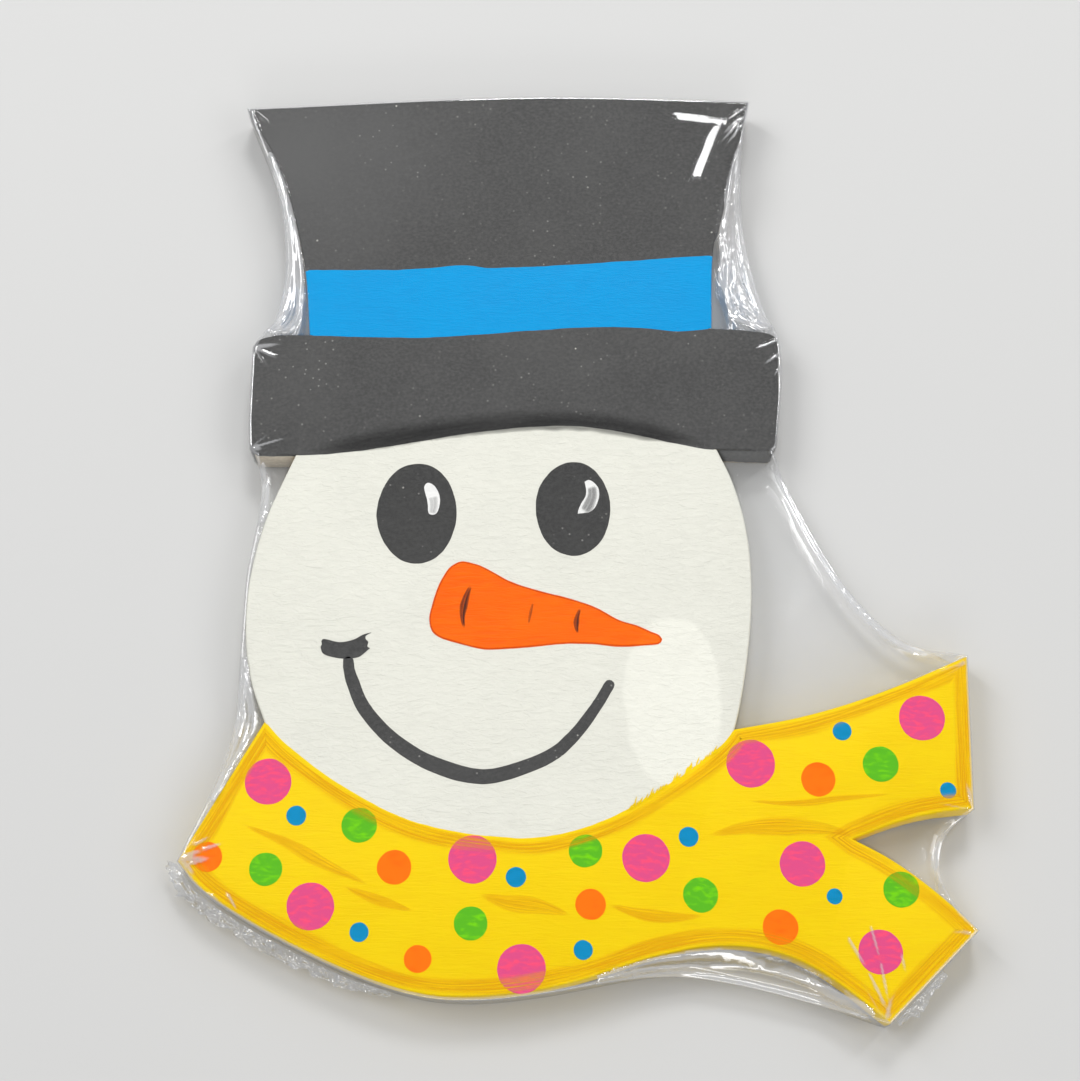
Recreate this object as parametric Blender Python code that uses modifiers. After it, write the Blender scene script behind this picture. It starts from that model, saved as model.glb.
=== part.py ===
"""A flat wooden snowman cut-out: a top-hatted head with a spotted scarf, painted by hand and sealed in shrink film.

It lies on its back: +Z comes out of the painted face, +Y points to the hat's top and +X is the viewer's right.
The origin is on the underside, under the middle of the board. All lengths below are in millimetres, and mm()
turns them into metres.
"""

import math

import bpy
from mathutils import Vector

# Driving dimensions
BOARD_THICKNESS = 12.0
PAINT = 0.2  # thickness of one painted layer
FILM = 0.2  # thickness of the shrink film
GAP = 0.2  # clear space between two layers, which touch on the real object
SIDE_GAP = 0.3  # clear space between the board's side wall and the film
TURN = math.radians(4)  # a curve gets a new point each time it has turned by this much

# Heights of the layers above the surface that the figure lies on
BOARD_BOTTOM = FILM + GAP
BOARD_TOP = BOARD_BOTTOM + BOARD_THICKNESS
COAT_BOTTOM = BOARD_TOP + GAP
FEATURE_BOTTOM = COAT_BOTTOM + PAINT + GAP
DETAIL_BOTTOM = FEATURE_BOTTOM + PAINT + GAP
FILM_TOP = DETAIL_BOTTOM + PAINT + GAP + FILM
FILM_SPLIT = FILM_TOP / 2  # the two sheets meet halfway up the side

# The outline, clockwise from the crown's top left corner. A stretch of two points is straight, and a longer one
# is a smooth curve through its points. Each stretch starts where the last one ends, in a corner.
CROWN_TOP = [(-110, 148), (-24, 152.4), (58.5, 150.6)]
CROWN_RIGHT_UPPER = [(58.5, 150.6), (54, 130), (48.6, 110), (45, 93.6)]
CROWN_RIGHT_LOWER = [(45, 93.6), (44.2, 80), (44, 67.8)]
BRIM_TOP_RIGHT = [(44, 67.8), (57, 66.8), (63, 65.8), (65.4, 63.6)]
BRIM_RIGHT = [(65.4, 63.6), (64.7, 48), (64.2, 34), (63.6, 27.6), (62, 25.4)]
BRIM_BOTTOM_RIGHT = [(62, 25.4), (44.6, 25.9)]
FACE_RIGHT = [(44.6, 25.9), (49.6, 14), (53.3, -2), (54.2, -20), (52.8, -38), (49.8, -56), (47.5, -65)]
TAIL_TOP = [(47.5, -65), (61.8, -62.5), (77, -58.7), (91.3, -54), (104.5, -48.7), (120, -42)]
TAIL_END = [(120, -42), (119, -89.2)]
TAIL_BOTTOM = [(119, -89.2), (106, -90.8), (95, -93.6), (82, -98.4)]
TAIL_2_TOP = [(82, -98.4), (93, -104.4), (103, -111.6), (112, -119.5), (118, -125.5)]
TAIL_2_END = [(118, -125.5), (90.5, -152.4)]
TAIL_2_BOTTOM = [(90.5, -152.4), (80, -143.8), (70.6, -137.2), (61, -132.7), (50, -130.3), (37, -130.3)]
SCARF_BOTTOM = [
    (37, -130.3), (20, -133.7), (-6, -141.6), (-30, -144.6), (-49, -143.4), (-71, -136), (-95, -124.2),
    (-112, -113.6), (-120, -105),
]
SCARF_LEFT = [(-120, -105), (-112.7, -93), (-107, -82.6), (-95.8, -62.6)]
FACE_LEFT = [(-95.8, -62.6), (-100.6, -49), (-102.8, -34), (-102.2, -17), (-97.8, 3), (-89.4, 24)]
BRIM_BOTTOM_LEFT = [(-89.4, 24), (-101.6, 24.1)]
BRIM_LEFT = [(-101.6, 24.1), (-103.5, 25.6), (-104.2, 28.6), (-104.3, 45), (-104.5, 61.2)]
BRIM_TOP_LEFT = [(-104.5, 61.2), (-102.6, 63.9), (-96, 65.4), (-86.4, 65.4)]
CROWN_LEFT_LOWER = [(-86.4, 65.4), (-87.2, 76), (-88.6, 88.2)]
CROWN_LEFT_UPPER = [(-88.6, 88.2), (-92.4, 105), (-97.8, 124), (-110, 148)]

# Where one painted area ends and the next one begins, from left to right
BAND_TOP = [(-88.6, 88.2), (-54, 88.6), (-37, 90), (-27, 89), (-14, 90.2), (3, 91.8), (24, 92.5), (45, 93.6)]
BAND_BOTTOM = [(-86.4, 65.4), (-68, 64.5), (-23, 65.4), (-4, 66.3), (22, 67.7), (33, 66.8), (44, 67.8)]
FACE_TOP = [(-89.4, 24), (-72.6, 26.4), (-55, 28.3), (-30, 31.8), (-10, 34), (4, 33.5), (20, 30.8), (44.6, 25.9)]
SCARF_TOP = [
    (-95.8, -62.6), (-87, -71.4), (-69, -84), (-48, -93.9), (-24, -97.9), (-8, -97.5), (13, -90.6),
    (34, -77.3), (43.5, -70), (47.5, -65),
]

# Where the film leaves the outline and is stretched straight across a hollow of it
FILM_RIGHT_OF_HAT = [(58.5, 150.6), (55.4, 130), (55.8, 104), (60, 82), (65.4, 63.6)]
FILM_RIGHT_OF_FACE = [(62, 25.4), (70, 8), (84, -18), (100, -35), (120, -42)]
FILM_BETWEEN_TAILS = [(119, -89.2), (110.5, -97), (108.4, -110), (112, -119), (118, -125.5)]
FILM_UNDER_SCARF = [
    (90.5, -152.4), (64, -144.6), (38, -139), (20, -138.6), (-6, -143), (-30, -145.6), (-49, -144),
    (-71, -136.6), (-95, -124.8), (-112, -114.2), (-120, -105),
]
FILM_LEFT_OF_FACE = [
    (-120, -105), (-109.5, -80), (-105.2, -60), (-103.8, -36), (-103.2, -18), (-100.8, 0), (-100, 12),
    (-101.6, 24.1),
]
FILM_LEFT_OF_HAT = [(-104.5, 61.2), (-98.6, 72), (-95.6, 90), (-97.4, 112), (-103.6, 132), (-110, 148)]

# Painted features. Eyes: centre, width and height
EYES = {"left": ((-50.5, 4.5), 25.2, 33.2), "right": ((-1.3, 6), 23.6, 31.2)}
# The white highlights: outer edge from top to bottom, then inner edge back up
HIGHLIGHTS = {
    "left": (
        [(-48.4, 13.2), (-47.9, 14.2), (-47, 14.6), (-45.7, 14), (-44.5, 12.7), (-43.6, 10.9), (-43.3, 8.9),
         (-43.4, 6.9), (-43.9, 5.2), (-44.7, 4.2), (-45.7, 3.9)],
        [(-45.7, 3.9), (-46.7, 4.3), (-47.1, 5.4), (-47.1, 6.9), (-47.4, 8.9), (-48, 10.8), (-48.4, 13.2)],
    ),
    "right": (
        [(2.4, 14.9), (3.6, 15.6), (4.8, 15.2), (6, 14.1), (6.8, 12.8), (7, 11.2), (6.9, 9.8), (6.5, 8.1),
         (5.9, 6.7), (5, 5.5), (3.9, 4.8), (2.7, 4.6), (0.2, 4.3)],
        [(0.2, 4.3), (0.4, 5.5), (1.2, 7.4), (2, 8.7), (2.7, 10.2), (2.9, 11.6), (2.8, 13), (2.4, 14.9)],
    ),
}
NOSE_TOP = [
    (-46.1, -30.4), (-45.4, -26.3), (-44.2, -21.8), (-42.6, -17.8), (-40.2, -13.7), (-38, -12.1), (-35.9, -11.4),
    (-32.3, -12.1), (-28.8, -13.5), (-22.2, -17.3), (-18.1, -19), (-9.9, -21.6), (0.2, -24.6), (5.3, -26.2),
    (12.5, -30.2), (18, -32), (22.1, -33.9), (24.9, -35.1), (26.1, -36.5),
]
NOSE_BOTTOM = [
    (26.1, -36.5), (25.4, -37.8), (23, -38.4), (12.9, -38.9), (3.3, -38.1), (-4.8, -38.1), (-14, -39.1),
    (-25.7, -39.8), (-30.3, -39.6), (-37.5, -37.5), (-41.6, -36.5), (-44.4, -34.9), (-45.7, -32.8), (-46.1, -30.4),
]
# Brush strokes: centre line, and the widths along it
NOSE_STROKES = {
    "left": ([(-33, -18.9), (-34.3, -22), (-35.4, -26), (-35.7, -29.5), (-35.1, -33.4)], [0.6, 2.4, 0.6]),
    "middle": ([(-13.8, -24.7), (-14.6, -28), (-15.3, -31.8)], [0.5, 1, 0.5]),
    "right": ([(0.8, -26.6), (-0.2, -29.7), (-0.4, -32.4), (0, -34.8)], [0.5, 1.9, 0.5]),
}
SMILE = (
    [(-70.8, -44.9), (-70.2, -46.9), (-69.3, -49.8), (-65.6, -58.2), (-57.4, -67.4), (-45.7, -75), (-31.4, -79.4),
     (-20.8, -78), (-8.4, -73), (-1.1, -66.6), (5.4, -58), (9.6, -51)],
    [3.3, 4.9, 3.1],
)
# The dab where the smile starts: upper edge with its flick, ragged right end, and lower edge
MOUTH_CORNER_TOP = [
    (-79.3, -37.2), (-78.6, -36.5), (-76.5, -36.9), (-73.6, -37.5), (-70.7, -37.1), (-68.7, -36.4), (-66.4, -35.1),
    (-63.9, -34.4),
]
MOUTH_CORNER_END = [(-63.9, -34.4), (-65.6, -35.5), (-65.5, -36.6), (-64.8, -37.4), (-65, -38.8), (-64.2, -39.4)]
MOUTH_CORNER_BOTTOM = [
    (-64.2, -39.4), (-65.6, -40.7), (-67.4, -42.1), (-69.5, -42.6), (-72.7, -42.7), (-76.2, -42.1), (-78.6, -41.1),
    (-79.4, -39.2), (-79.1, -38.2), (-79.3, -37.2),
]
BRIM_SHADOW_TOP = [(-84, 26.2), (-62, 32.4), (-34, 37), (-8, 38.8), (16, 36.4), (40, 30), (44, 26.8)]

# The scarf's dots by colour: centre and diameter of each one, put on by hand
DOTS = {
    "pink": [(-93.9, -81.1, 14.2), (-79.9, -118.5, 14.3), (-31.9, -104.5, 14.6), (-17.2, -136.7, 14.4),
             (20, -104.1, 14.4), (52.2, -75.5, 14.8), (66.7, -105.9, 13.7), (88.7, -131.8, 13.2), (104.9, -61.4, 14.1)],
    "green": [(-66, -94.3, 10.7), (-93.6, -107.5, 10), (-32.2, -123.5, 10.1), (2, -102, 10),
              (36.1, -115.1, 10.5), (91.6, -75.7, 10.9), (95.8, -113.5, 10.8)],
    "orange": [(-111.2, -103.8, 9), (-55.2, -106.9, 10.4), (-47.7, -133.8, 8.3), (3.3, -117.9, 9.2),
               (72.5, -80.4, 10.5), (59.5, -124.6, 10.6)],
    "blue": [(-85, -91.4, 6.2), (-65.3, -126.1, 5.8), (-18.9, -109.8, 6.1), (1, -131.3, 5.8),
             (32.8, -97.8, 6.1), (80.4, -65.5, 5.8), (111.6, -83.7, 5), (76, -115.6, 5)],
}
DOT_SIDES = 18

# The film's sealed edge: (inner line, outer line) of each crinkled strip, from left to right
SEAM_LEFT = (
    [(-121.4, -105), (-113, -115), (-96, -125.8), (-72, -137.6), (-56, -142.9)],
    [(-124.6, -103.6), (-122.4, -112), (-113, -119.6), (-103, -126.4), (-90, -133.2), (-72, -140.8), (-56, -144.4)],
)
SEAM_RIGHT = (
    [(93.4, -151.2), (98, -146.6), (103, -141.8), (108.4, -136.4)],
    [(94.6, -152.4), (101.6, -148.6), (105, -143), (110.6, -138.4), (108.4, -136.4)],
)

# Colour, roughness and alpha of each material
MATERIALS = {
    "bare_wood": ((0.46, 0.37, 0.26), 0.75, 1.0),
    "black_paint": ((0.022, 0.022, 0.023), 0.55, 1.0),
    "dark_grey_paint": ((0.045, 0.045, 0.047), 0.6, 1.0),
    "blue_paint": ((0.0, 0.31, 0.74), 0.5, 1.0),
    "white_paint": ((0.83, 0.82, 0.76), 0.6, 1.0),
    "yellow_paint": ((0.93, 0.69, 0.0), 0.5, 1.0),
    "pink_paint": ((0.80, 0.09, 0.31), 0.5, 1.0),
    "green_paint": ((0.11, 0.53, 0.04), 0.5, 1.0),
    "orange_paint": ((1.0, 0.19, 0.0), 0.5, 1.0),
    "carrot_paint": ((1.0, 0.12, 0.005), 0.5, 1.0),
    "shrink_film": ((0.9, 0.93, 0.95), 0.08, 0.15),
}


def mm(value):
    return value / 1000


def clear_scene():
    for obj in list(bpy.data.objects):
        bpy.data.objects.remove(obj)


def material(name):
    """The named material, made on first use."""
    found = bpy.data.materials.get(name)
    if found:
        return found
    colour, roughness, alpha = MATERIALS[name]
    made = bpy.data.materials.new(name)
    made.use_nodes = True
    shader = made.node_tree.nodes["Principled BSDF"]
    shader.inputs["Base Color"].default_value = (*colour, 1.0)
    shader.inputs["Roughness"].default_value = roughness
    shader.inputs["Metallic"].default_value = 0.0
    shader.inputs["Alpha"].default_value = alpha
    return made


def curve_through(points, samples=16):
    """Closely spaced points on a Catmull-Rom curve through the given ones."""
    stops = [Vector(p) for p in points]
    padded = [2 * stops[0] - stops[1], *stops, 2 * stops[-1] - stops[-2]]
    path = []
    for a, b, c, d in zip(padded, padded[1:], padded[2:], padded[3:]):
        for i in range(samples):
            t = i / samples
            path.append(
                0.5 * (2 * b + (c - a) * t + (2 * a - 5 * b + 4 * c - d) * t**2 + (3 * b - a - 3 * c + d) * t**3)
            )
    return [*path, stops[-1]]


def smooth(points):
    """A stretch of outline: its two ends, and a point wherever the curve between them has turned by TURN.

    Neighbours walk a stretch that they share in opposite directions, and have to get the same points.
    """
    if len(points) == 2:
        return [Vector(p) for p in points]
    if points[0] > points[-1]:
        return smooth(points[::-1])[::-1]
    path = curve_through(points)
    kept, heading = [path[0]], path[1] - path[0]
    for here, after in zip(path[1:], path[2:]):
        if heading.angle(after - here) > TURN:
            kept.append(here)
            heading = after - here
    return [*kept, path[-1]]


def loop_of(*stretches):
    """One closed outline, made of stretches that each start where the last one ends."""
    loop = []
    for stretch in stretches:
        loop += smooth(stretch)[:-1]
    return loop


def back(stretch):
    return stretch[::-1]


def offset(loop, distance):
    """A clockwise outline moved outwards by distance, or inwards where it is negative."""
    moved = []
    for before, here, after in zip([loop[-1], *loop], loop, [*loop[1:], loop[0]]):
        first, second = (here - before).normalized(), (after - here).normalized()
        out = Vector((-first.y - second.y, first.x + second.x)).normalized()
        mitre = max(out.dot(Vector((-first.y, first.x))), 0.5)
        moved.append(here + out * distance / mitre)
    return moved


def stroke(line, widths, end_steps=5):
    """The outline of a brush stroke along a line, its width running through widths, with round ends."""
    path = curve_through(line, samples=4)
    left, right = [], []
    for i, here in enumerate(path):
        along = i / (len(path) - 1) * (len(widths) - 1)
        slot = min(int(along), len(widths) - 2)
        half = (widths[slot] + (widths[slot + 1] - widths[slot]) * (along - slot)) / 2
        ahead = (path[min(i + 1, len(path) - 1)] - path[max(i - 1, 0)]).normalized()
        side = Vector((-ahead.y, ahead.x)) * half
        left.append(here + side)
        right.append(here - side)

    def cap(centre, start):
        """A half circle clockwise round centre from start."""
        arm = start - centre
        turns = (-math.pi * (k + 1) / (end_steps + 1) for k in range(end_steps))
        return [centre + Vector((arm.x * math.cos(t) - arm.y * math.sin(t), arm.x * math.sin(t) + arm.y * math.cos(t)))
                for t in turns]

    return [*left, *cap(path[-1], left[-1]), *right[::-1], *cap(path[0], right[0])]


def ellipse(centre, width, height, sides=32):
    """An oval outline, clockwise."""
    angles = (-2 * math.pi * k / sides for k in range(sides))
    return [Vector((centre[0] + width / 2 * math.cos(a), centre[1] + height / 2 * math.sin(a))) for a in angles]


def add(obj, collection, material_name):
    collection.objects.link(obj)
    obj.data.materials.append(material(material_name))


def plate(name, loop, bottom, thickness, material_name, collection):
    """A flat piece with the given outline, its underside at height bottom."""
    curve = bpy.data.curves.new(name, "CURVE")
    curve.dimensions = "2D"
    curve.fill_mode = "BOTH"
    curve.extrude = mm(thickness / 2)
    spline = curve.splines.new("POLY")
    spline.points.add(len(loop) - 1)
    for point, place in zip(spline.points, loop):
        point.co = (mm(place.x), mm(place.y), 0, 1)
    spline.use_cyclic_u = True
    obj = bpy.data.objects.new(name, curve)
    obj.location.z = mm(bottom + thickness / 2)
    add(obj, collection, material_name)


def dish(name, loop, sheet_z, rim_z, collection):
    """A film shell: a flat sheet at sheet_z with a side wall to rim_z. The loop is its inner face."""
    outline = [(mm(p.x), mm(p.y)) for p in loop[::-1]]
    count = len(outline)
    corners = [(x, y, mm(sheet_z)) for x, y in outline] + [(x, y, mm(rim_z)) for x, y in outline]
    sheet = list(range(count))
    walls = [(i, count + i, count + (i + 1) % count, (i + 1) % count) for i in range(count)]
    if sheet_z < rim_z:
        sheet, walls = sheet[::-1], [wall[::-1] for wall in walls]
    mesh = bpy.data.meshes.new(name)
    mesh.from_pydata(corners, [], [sheet, *walls])
    obj = bpy.data.objects.new(name, mesh)
    skin = obj.modifiers.new("film", "SOLIDIFY")
    skin.thickness = mm(FILM)
    skin.offset = 1
    skin.use_even_offset = True
    add(obj, collection, "shrink_film")


def dot(name, centre, diameter, material_name, collection):
    """A round blot of paint on the scarf."""
    bpy.ops.mesh.primitive_cylinder_add(
        vertices=DOT_SIDES,
        radius=mm(diameter / 2),
        depth=mm(PAINT),
        location=(mm(centre[0]), mm(centre[1]), mm(FEATURE_BOTTOM + PAINT / 2)),
    )
    obj = bpy.context.object
    obj.name = name
    for owner in list(obj.users_collection):
        owner.objects.unlink(obj)
    add(obj, collection, material_name)


def make_board(collection):
    outline = loop_of(
        CROWN_TOP, CROWN_RIGHT_UPPER, CROWN_RIGHT_LOWER, BRIM_TOP_RIGHT, BRIM_RIGHT, BRIM_BOTTOM_RIGHT,
        FACE_RIGHT, TAIL_TOP, TAIL_END, TAIL_BOTTOM, TAIL_2_TOP, TAIL_2_END, TAIL_2_BOTTOM, SCARF_BOTTOM,
        SCARF_LEFT, FACE_LEFT, BRIM_BOTTOM_LEFT, BRIM_LEFT, BRIM_TOP_LEFT, CROWN_LEFT_LOWER, CROWN_LEFT_UPPER,
    )
    plate("board", outline, BOARD_BOTTOM, BOARD_THICKNESS, "bare_wood", collection)


def make_coats(collection):
    """The five painted areas. Each keeps clear of the board's edge and of its neighbours."""
    coats = {
        "hat_crown_paint": ("black_paint", loop_of(
            CROWN_TOP, CROWN_RIGHT_UPPER, back(BAND_TOP), CROWN_LEFT_UPPER)),
        "hat_band_paint": ("blue_paint", loop_of(
            BAND_TOP, CROWN_RIGHT_LOWER, back(BAND_BOTTOM), CROWN_LEFT_LOWER)),
        "hat_brim_paint": ("black_paint", loop_of(
            BAND_BOTTOM, BRIM_TOP_RIGHT, BRIM_RIGHT, BRIM_BOTTOM_RIGHT, back(FACE_TOP), BRIM_BOTTOM_LEFT, BRIM_LEFT,
            BRIM_TOP_LEFT)),
        "face_paint": ("white_paint", loop_of(FACE_TOP, FACE_RIGHT, back(SCARF_TOP), FACE_LEFT)),
        "scarf_paint": ("yellow_paint", loop_of(
            SCARF_TOP, TAIL_TOP, TAIL_END, TAIL_BOTTOM, TAIL_2_TOP, TAIL_2_END, TAIL_2_BOTTOM, SCARF_BOTTOM,
            SCARF_LEFT)),
    }
    for name, (paint, loop) in coats.items():
        plate(name, offset(loop, -SIDE_GAP / 2), COAT_BOTTOM, PAINT, paint, collection)


def make_face(collection):
    """The eyes, nose and mouth, and the shadow that the brim casts."""
    shadow = offset(loop_of(BRIM_SHADOW_TOP, [BRIM_SHADOW_TOP[-1], FACE_TOP[-1]], back(FACE_TOP),
                            [FACE_TOP[0], BRIM_SHADOW_TOP[0]]), -SIDE_GAP / 2)
    plate("brim_shadow", shadow, FEATURE_BOTTOM, PAINT, "black_paint", collection)
    for side, (centre, width, height) in EYES.items():
        plate(f"eye_{side}", ellipse(centre, width, height), FEATURE_BOTTOM, PAINT, "black_paint", collection)
    for side, edges in HIGHLIGHTS.items():
        plate(f"eye_highlight_{side}", loop_of(*edges), DETAIL_BOTTOM, PAINT, "white_paint", collection)
    plate("nose", loop_of(NOSE_TOP, NOSE_BOTTOM), FEATURE_BOTTOM, PAINT, "carrot_paint", collection)
    for place, (line, widths) in NOSE_STROKES.items():
        plate(f"nose_stroke_{place}", stroke(line, widths), DETAIL_BOTTOM, PAINT, "black_paint", collection)
    plate("mouth_smile", stroke(*SMILE), FEATURE_BOTTOM, PAINT, "black_paint", collection)
    corner = loop_of(MOUTH_CORNER_TOP, MOUTH_CORNER_END, MOUTH_CORNER_BOTTOM)
    plate("mouth_corner", corner, FEATURE_BOTTOM, PAINT, "black_paint", collection)


def make_dots(collection):
    for colour, blots in DOTS.items():
        for number, (x, y, diameter) in enumerate(blots, 1):
            dot(f"dot_{colour}_{number}", (x, y), diameter, f"{colour}_paint", collection)


def make_film(collection):
    """The two film sheets, which meet halfway up the side, and the crinkled strips of their seam."""
    outline = loop_of(
        CROWN_TOP, FILM_RIGHT_OF_HAT, BRIM_RIGHT, FILM_RIGHT_OF_FACE, TAIL_END, FILM_BETWEEN_TAILS, TAIL_2_END,
        FILM_UNDER_SCARF, FILM_LEFT_OF_FACE, BRIM_LEFT, FILM_LEFT_OF_HAT,
    )
    inner = offset(outline, SIDE_GAP)
    dish("film_front", inner, FILM_TOP - FILM, FILM_SPLIT + GAP / 2, collection)
    dish("film_back", inner, FILM, FILM_SPLIT - GAP / 2, collection)
    for side, (near, far) in {"left": SEAM_LEFT, "right": SEAM_RIGHT}.items():
        strip = loop_of(near, [near[-1], far[-1]], back(far), [far[0], near[0]])
        plate(f"film_seam_{side}", strip, FILM_SPLIT - FILM / 2, FILM, "shrink_film", collection)


def main():
    clear_scene()
    collection = bpy.data.collections.new("snowman_cutout")
    bpy.context.scene.collection.children.link(collection)
    make_board(collection)
    make_coats(collection)
    make_face(collection)
    make_dots(collection)
    make_film(collection)


main()
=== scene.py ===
"""Looks of the wooden snowman cut-out: brushed paint on a sawn board, sealed in clear shrink film.

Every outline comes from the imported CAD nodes. +Z comes out of the painted face, +Y points to the hat's top.
"""

import math
import random

import bpy
import numpy as np
from mathutils import Matrix, Vector, geometry, kdtree, noise


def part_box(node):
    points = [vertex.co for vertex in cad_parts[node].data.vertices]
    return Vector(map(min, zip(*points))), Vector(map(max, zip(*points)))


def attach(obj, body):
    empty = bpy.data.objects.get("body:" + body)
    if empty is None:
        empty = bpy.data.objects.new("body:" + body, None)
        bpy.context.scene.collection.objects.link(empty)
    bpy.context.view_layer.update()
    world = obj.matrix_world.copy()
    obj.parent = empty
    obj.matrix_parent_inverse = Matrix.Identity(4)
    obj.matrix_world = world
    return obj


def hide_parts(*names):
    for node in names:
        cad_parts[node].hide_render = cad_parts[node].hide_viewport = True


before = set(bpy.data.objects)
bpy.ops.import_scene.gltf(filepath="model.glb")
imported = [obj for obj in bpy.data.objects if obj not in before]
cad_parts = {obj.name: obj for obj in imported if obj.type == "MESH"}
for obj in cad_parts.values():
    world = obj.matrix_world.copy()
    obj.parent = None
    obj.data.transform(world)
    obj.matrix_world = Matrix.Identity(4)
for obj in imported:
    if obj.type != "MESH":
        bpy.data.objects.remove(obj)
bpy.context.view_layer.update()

MM = 0.001
BOARD_LOW, BOARD_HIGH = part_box("board")
BOARD_BOTTOM, BOARD_TOP = BOARD_LOW[2], BOARD_HIGH[2]

noise.seed_set(1)  # without this, noise_vector would change with the time of the run

PITCH = 1.0 * MM  # spacing of the points along an outline
CORNER = math.radians(22)  # an outline that turns by more than this at a point has a corner there


# ---------------- outlines


def noisy(x, y, z):
    """Smooth noise, from about -1 to 1."""
    return noise.noise(Vector((x, y, z)))


def rim(cad_node):
    """A flat CAD node's outline, anticlockwise: the free edges of its top face."""
    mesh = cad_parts[cad_node].data
    top = max(v.co.z for v in mesh.vertices)
    spots = [tuple(round(c, 6) for c in v.co[:2]) for v in mesh.vertices]
    edges = set()
    for face in mesh.polygons:
        ids = list(face.vertices)
        if all(top - mesh.vertices[i].co.z < 0.1 * MM for i in ids):
            edges.update((spots[a], spots[b]) for a, b in zip(ids, ids[1:] + ids[:1]))
    after = {a: b for a, b in edges if (b, a) not in edges}
    loop = [min(after)]
    while after[loop[-1]] != loop[0]:
        loop.append(after[loop[-1]])
    return [Vector(p) for p in loop]


def triples(loop):
    """Each point of a loop between the one before it and the one after it."""
    return zip([loop[-1], *loop], loop, [*loop[1:], loop[0]])


def sharp_points(loop):
    return [i for i, (a, b, c) in enumerate(triples(loop)) if (b - a).angle(c - b, 0.0) > CORNER]


def stretches(loop):
    """The loop cut at its corners, each stretch with both ends, or one closed stretch."""
    count, corners = len(loop), sharp_points(loop)
    if not corners:
        return [loop + loop[:1]]
    cuts = zip(corners, corners[1:] + [corners[0] + count])
    return [[loop[i % count] for i in range(a, b + 1)] for a, b in cuts]


def length_of(path):
    return sum((b - a).length for a, b in zip(path, path[1:]))


def spline(points, pitch=PITCH, closed=False):
    """Evenly spaced points on a smooth curve through these, without the last one if closed."""
    if closed:
        padded = [points[-2], *points, points[1]]
    else:
        padded = [2 * points[0] - points[1], *points, 2 * points[-1] - points[-2]]
    path = []
    for a, b, c, d in zip(padded, padded[1:], padded[2:], padded[3:]):
        span = (c - b).length
        if span < 1e-7:
            continue
        before, after = max((b - a).length, 1e-7), max((d - c).length, 1e-7)
        leave = ((b - a) / before * span + (c - b) / span * before) / (before + span) * span
        reach = ((c - b) / span * after + (d - c) / after * span) / (span + after) * span
        steps = max(1, round(span / pitch))
        for k in range(steps):
            t = k / steps
            start = (2 * t**3 - 3 * t**2 + 1) * b + (t**3 - 2 * t**2 + t) * leave
            path.append(start + (3 * t**2 - 2 * t**3) * c + (t**3 - t**2) * reach)
    return path if closed else [*path, points[-1]]


def smoothed(cad_node, pitch=PITCH):
    """A CAD node's outline with its facets rounded off and its corners kept."""
    parts = stretches(rim(cad_node))
    if len(parts) == 1 and parts[0][0] == parts[0][-1]:
        return spline(parts[0], pitch, closed=True)
    return [p for part in parts for p in spline(part, pitch)[:-1]]


def normals(loop):
    """Outward directions of a loop, longer at corners so that an offset keeps its width."""
    found = []
    for a, b, c in triples(loop):
        first, second = (b - a).normalized(), (c - b).normalized()
        out = Vector((first.y + second.y, -first.x - second.x)).normalized()
        found.append(out / max(out.dot(Vector((first.y, -first.x))), 0.6))
    return found


def offset(loop, distance):
    return [p + n * distance for p, n in zip(loop, normals(loop))]


def wobbled(loop, size, wave, seed):
    """A loop that strays by up to size, as a hand-held brush leaves it."""
    moved = []
    for p, n in zip(loop, normals(loop)):
        q = p / wave
        moved.append(p + n.normalized() * size * (noisy(*q, seed) + 0.35 * noisy(*(q * 4), seed + 7)))
    return moved


def hand_drawn(cad_node, pitch, size, wave, seed):
    """A CAD node's outline as a brush follows it. Lengths in mm."""
    return wobbled(smoothed(cad_node, pitch * MM), size * MM, wave * MM, seed)


def tree_of(loop):
    tree = kdtree.KDTree(len(loop))
    for i, p in enumerate(loop):
        tree.insert((p.x, p.y, 0), i)
    tree.balance()
    return tree


def nearest(tree, p):
    """The index of the stored point nearest to p, and its distance."""
    return tree.find((p.x, p.y, 0))[1:]


def span_of(loop, axis):
    return min(p[axis] for p in loop), max(p[axis] for p in loop)


def smoothstep(low, high, value):
    t = min(max((value - low) / (high - low), 0.0), 1.0)
    return t * t * (3 - 2 * t)


def bell(distance, width):
    return math.exp(-((distance / width) ** 2))


# ---------------- meshes


def placed(name, data):
    obj = bpy.data.objects.new(name, data)
    bpy.context.scene.collection.objects.link(obj)
    return obj


def finish_piece(obj, material, slot, *nodes):
    """Puts the piece on the body in its material, standing for its CAD nodes."""
    obj.data.materials.append(material)
    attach(obj, "root")
    if nodes:
        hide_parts(*nodes)


def mesh_piece(name, points, faces):
    mesh = bpy.data.meshes.new(name)
    mesh.from_pydata([tuple(p) for p in points], [], faces)
    mesh.validate()
    mesh.update()
    mesh.shade_smooth()
    return placed(name, mesh)


def mark(obj, key, values):
    """Stores a number for each point of the mesh, for its material."""
    obj.data.attributes.new(key, "FLOAT", "POINT").data.foreach_set("value", values)


def joined(upper, lower):
    """The faces between two closed rings of point numbers."""
    return list(zip(upper, lower, [*lower[1:], lower[0]], [*upper[1:], upper[0]]))


def ringed(name, rings, close_bottom=True):
    """A piece made of anticlockwise rings from the top down, each joined to the next."""
    count = len(rings[0])
    layers = [range(k * count, (k + 1) * count) for k in range(len(rings))]
    faces = [face for pair in zip(layers, layers[1:]) for face in joined(*pair)] + [tuple(layers[0])]
    if close_bottom:
        faces.append(tuple(reversed(layers[-1])))
    obj = mesh_piece(name, [p for ring in rings for p in ring], faces)
    obj.data.set_sharp_from_angle(angle=math.radians(50))
    return obj


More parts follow.
